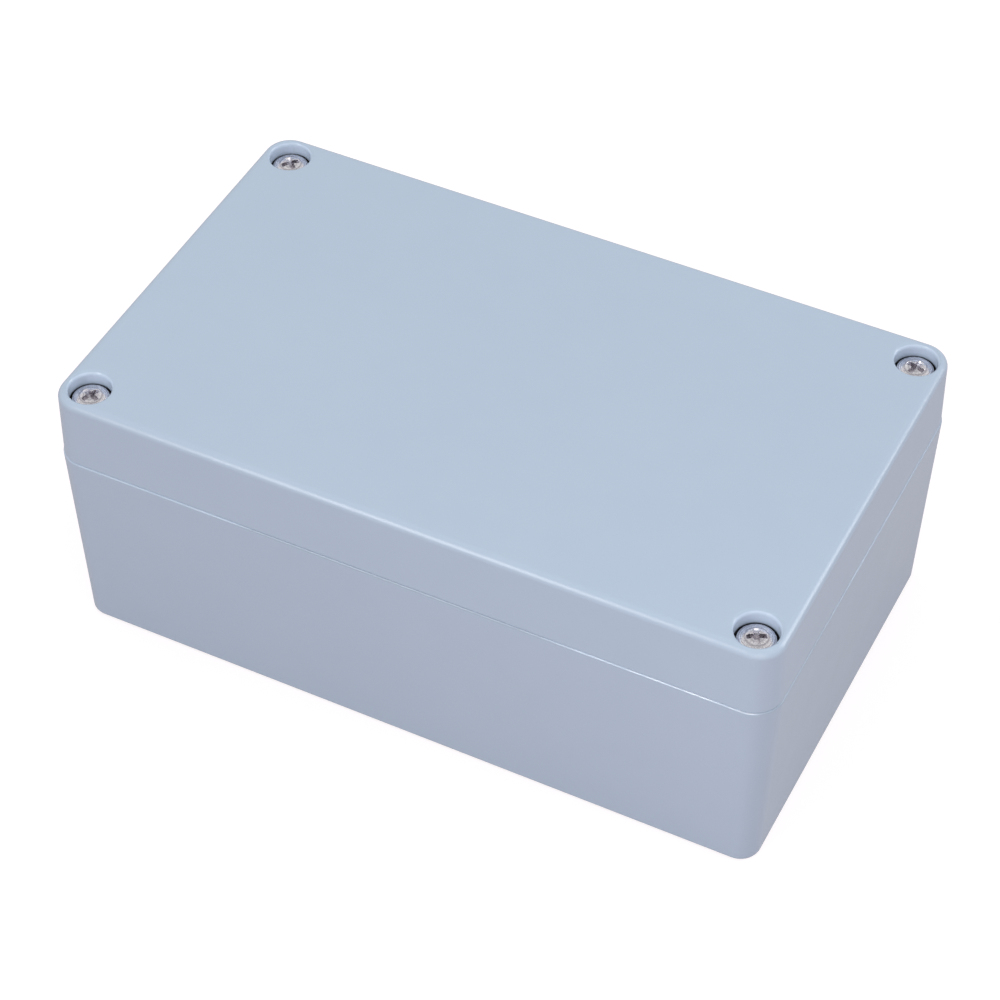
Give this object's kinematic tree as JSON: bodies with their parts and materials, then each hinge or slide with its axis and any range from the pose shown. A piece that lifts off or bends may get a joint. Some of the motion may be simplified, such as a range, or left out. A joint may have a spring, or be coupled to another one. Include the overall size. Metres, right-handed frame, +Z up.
{
  "type": "metal electronics enclosure",
  "caption": "Rectangular die-cast metal box with a flush gasketed lid, recessed captive corner screws, wall-screw wells outside the seal, board bosses and an earth screw inside.",
  "frame": {"origin": "centre of the base's underside", "axes": "+X along the length, +Y across the width away from the pictured long side, +Z up through the lid"},
  "size_m": [0.16, 0.096, 0.064],
  "materials": {
    "paint": "satin",
    "black_rubber": "matte",
    "screw_steel": "gloss",
    "brass": "satin"
  },
  "bodies": {
    "base": {"base": "paint"},
    "lid": {"lid": "paint", "gasket": "black_rubber"},
    "ring_1": {"screw_ring_1": "black_rubber"},
    "screw_1": {"lid_screw_1": "screw_steel"},
    "ring_2": {"screw_ring_2": "black_rubber"},
    "screw_2": {"lid_screw_2": "screw_steel"},
    "ring_3": {"screw_ring_3": "black_rubber"},
    "screw_3": {"lid_screw_3": "screw_steel"},
    "ring_4": {"screw_ring_4": "black_rubber"},
    "screw_4": {"lid_screw_4": "screw_steel"},
    "earth_washers": {"earth_washer": "brass", "earth_lock_washer": "screw_steel"},
    "earth_screw": {"earth_screw": "brass"}
  },
  "joints": [
    {"name": "lid_lift", "type": "slide", "parent": "base", "child": "lid", "axis": [0, 0, 1], "range_m": [0, 0.08]},
    {"name": "screw_1_turn", "type": "hinge", "parent": "lid", "child": "ring_1", "pos_m": [0.0732, -0.0412, 0.0595], "axis": [0, 0, 1], "range_deg": [0, 6840]},
    {"name": "screw_1_rise", "type": "slide", "parent": "ring_1", "child": "screw_1", "axis": [0, 0, 1], "range_m": [0, 0.0133]},
    {"name": "screw_2_turn", "type": "hinge", "parent": "lid", "child": "ring_2", "pos_m": [0.0732, 0.0412, 0.0595], "axis": [0, 0, 1], "range_deg": [0, 6840]},
    {"name": "screw_2_rise", "type": "slide", "parent": "ring_2", "child": "screw_2", "axis": [0, 0, 1], "range_m": [0, 0.0133]},
    {"name": "screw_3_turn", "type": "hinge", "parent": "lid", "child": "ring_3", "pos_m": [-0.0732, 0.0412, 0.0595], "axis": [0, 0, 1], "range_deg": [0, 6840]},
    {"name": "screw_3_rise", "type": "slide", "parent": "ring_3", "child": "screw_3", "axis": [0, 0, 1], "range_m": [0, 0.0133]},
    {"name": "screw_4_turn", "type": "hinge", "parent": "lid", "child": "ring_4", "pos_m": [-0.0732, -0.0412, 0.0595], "axis": [0, 0, 1], "range_deg": [0, 6840]},
    {"name": "screw_4_rise", "type": "slide", "parent": "ring_4", "child": "screw_4", "axis": [0, 0, 1], "range_m": [0, 0.0133]},
    {"name": "earth_rise", "type": "slide", "parent": "base", "child": "earth_washers", "axis": [0, 0, 1], "range_m": [0, 0.00665]},
    {"name": "earth_turn", "type": "hinge", "parent": "earth_washers", "child": "earth_screw", "pos_m": [-0.0657, 0, 0.0124], "axis": [0, 0, 1], "range_deg": [0, 3420]}
  ],
  "couplings": [
    {"joint": "screw_1_turn", "follows": "screw_1_rise", "rad_per_m": 8976},
    {"joint": "screw_2_turn", "follows": "screw_2_rise", "rad_per_m": 8976},
    {"joint": "screw_3_turn", "follows": "screw_3_rise", "rad_per_m": 8976},
    {"joint": "screw_4_turn", "follows": "screw_4_rise", "rad_per_m": 8976},
    {"joint": "earth_turn", "follows": "earth_rise", "rad_per_m": 8976}
  ]
}
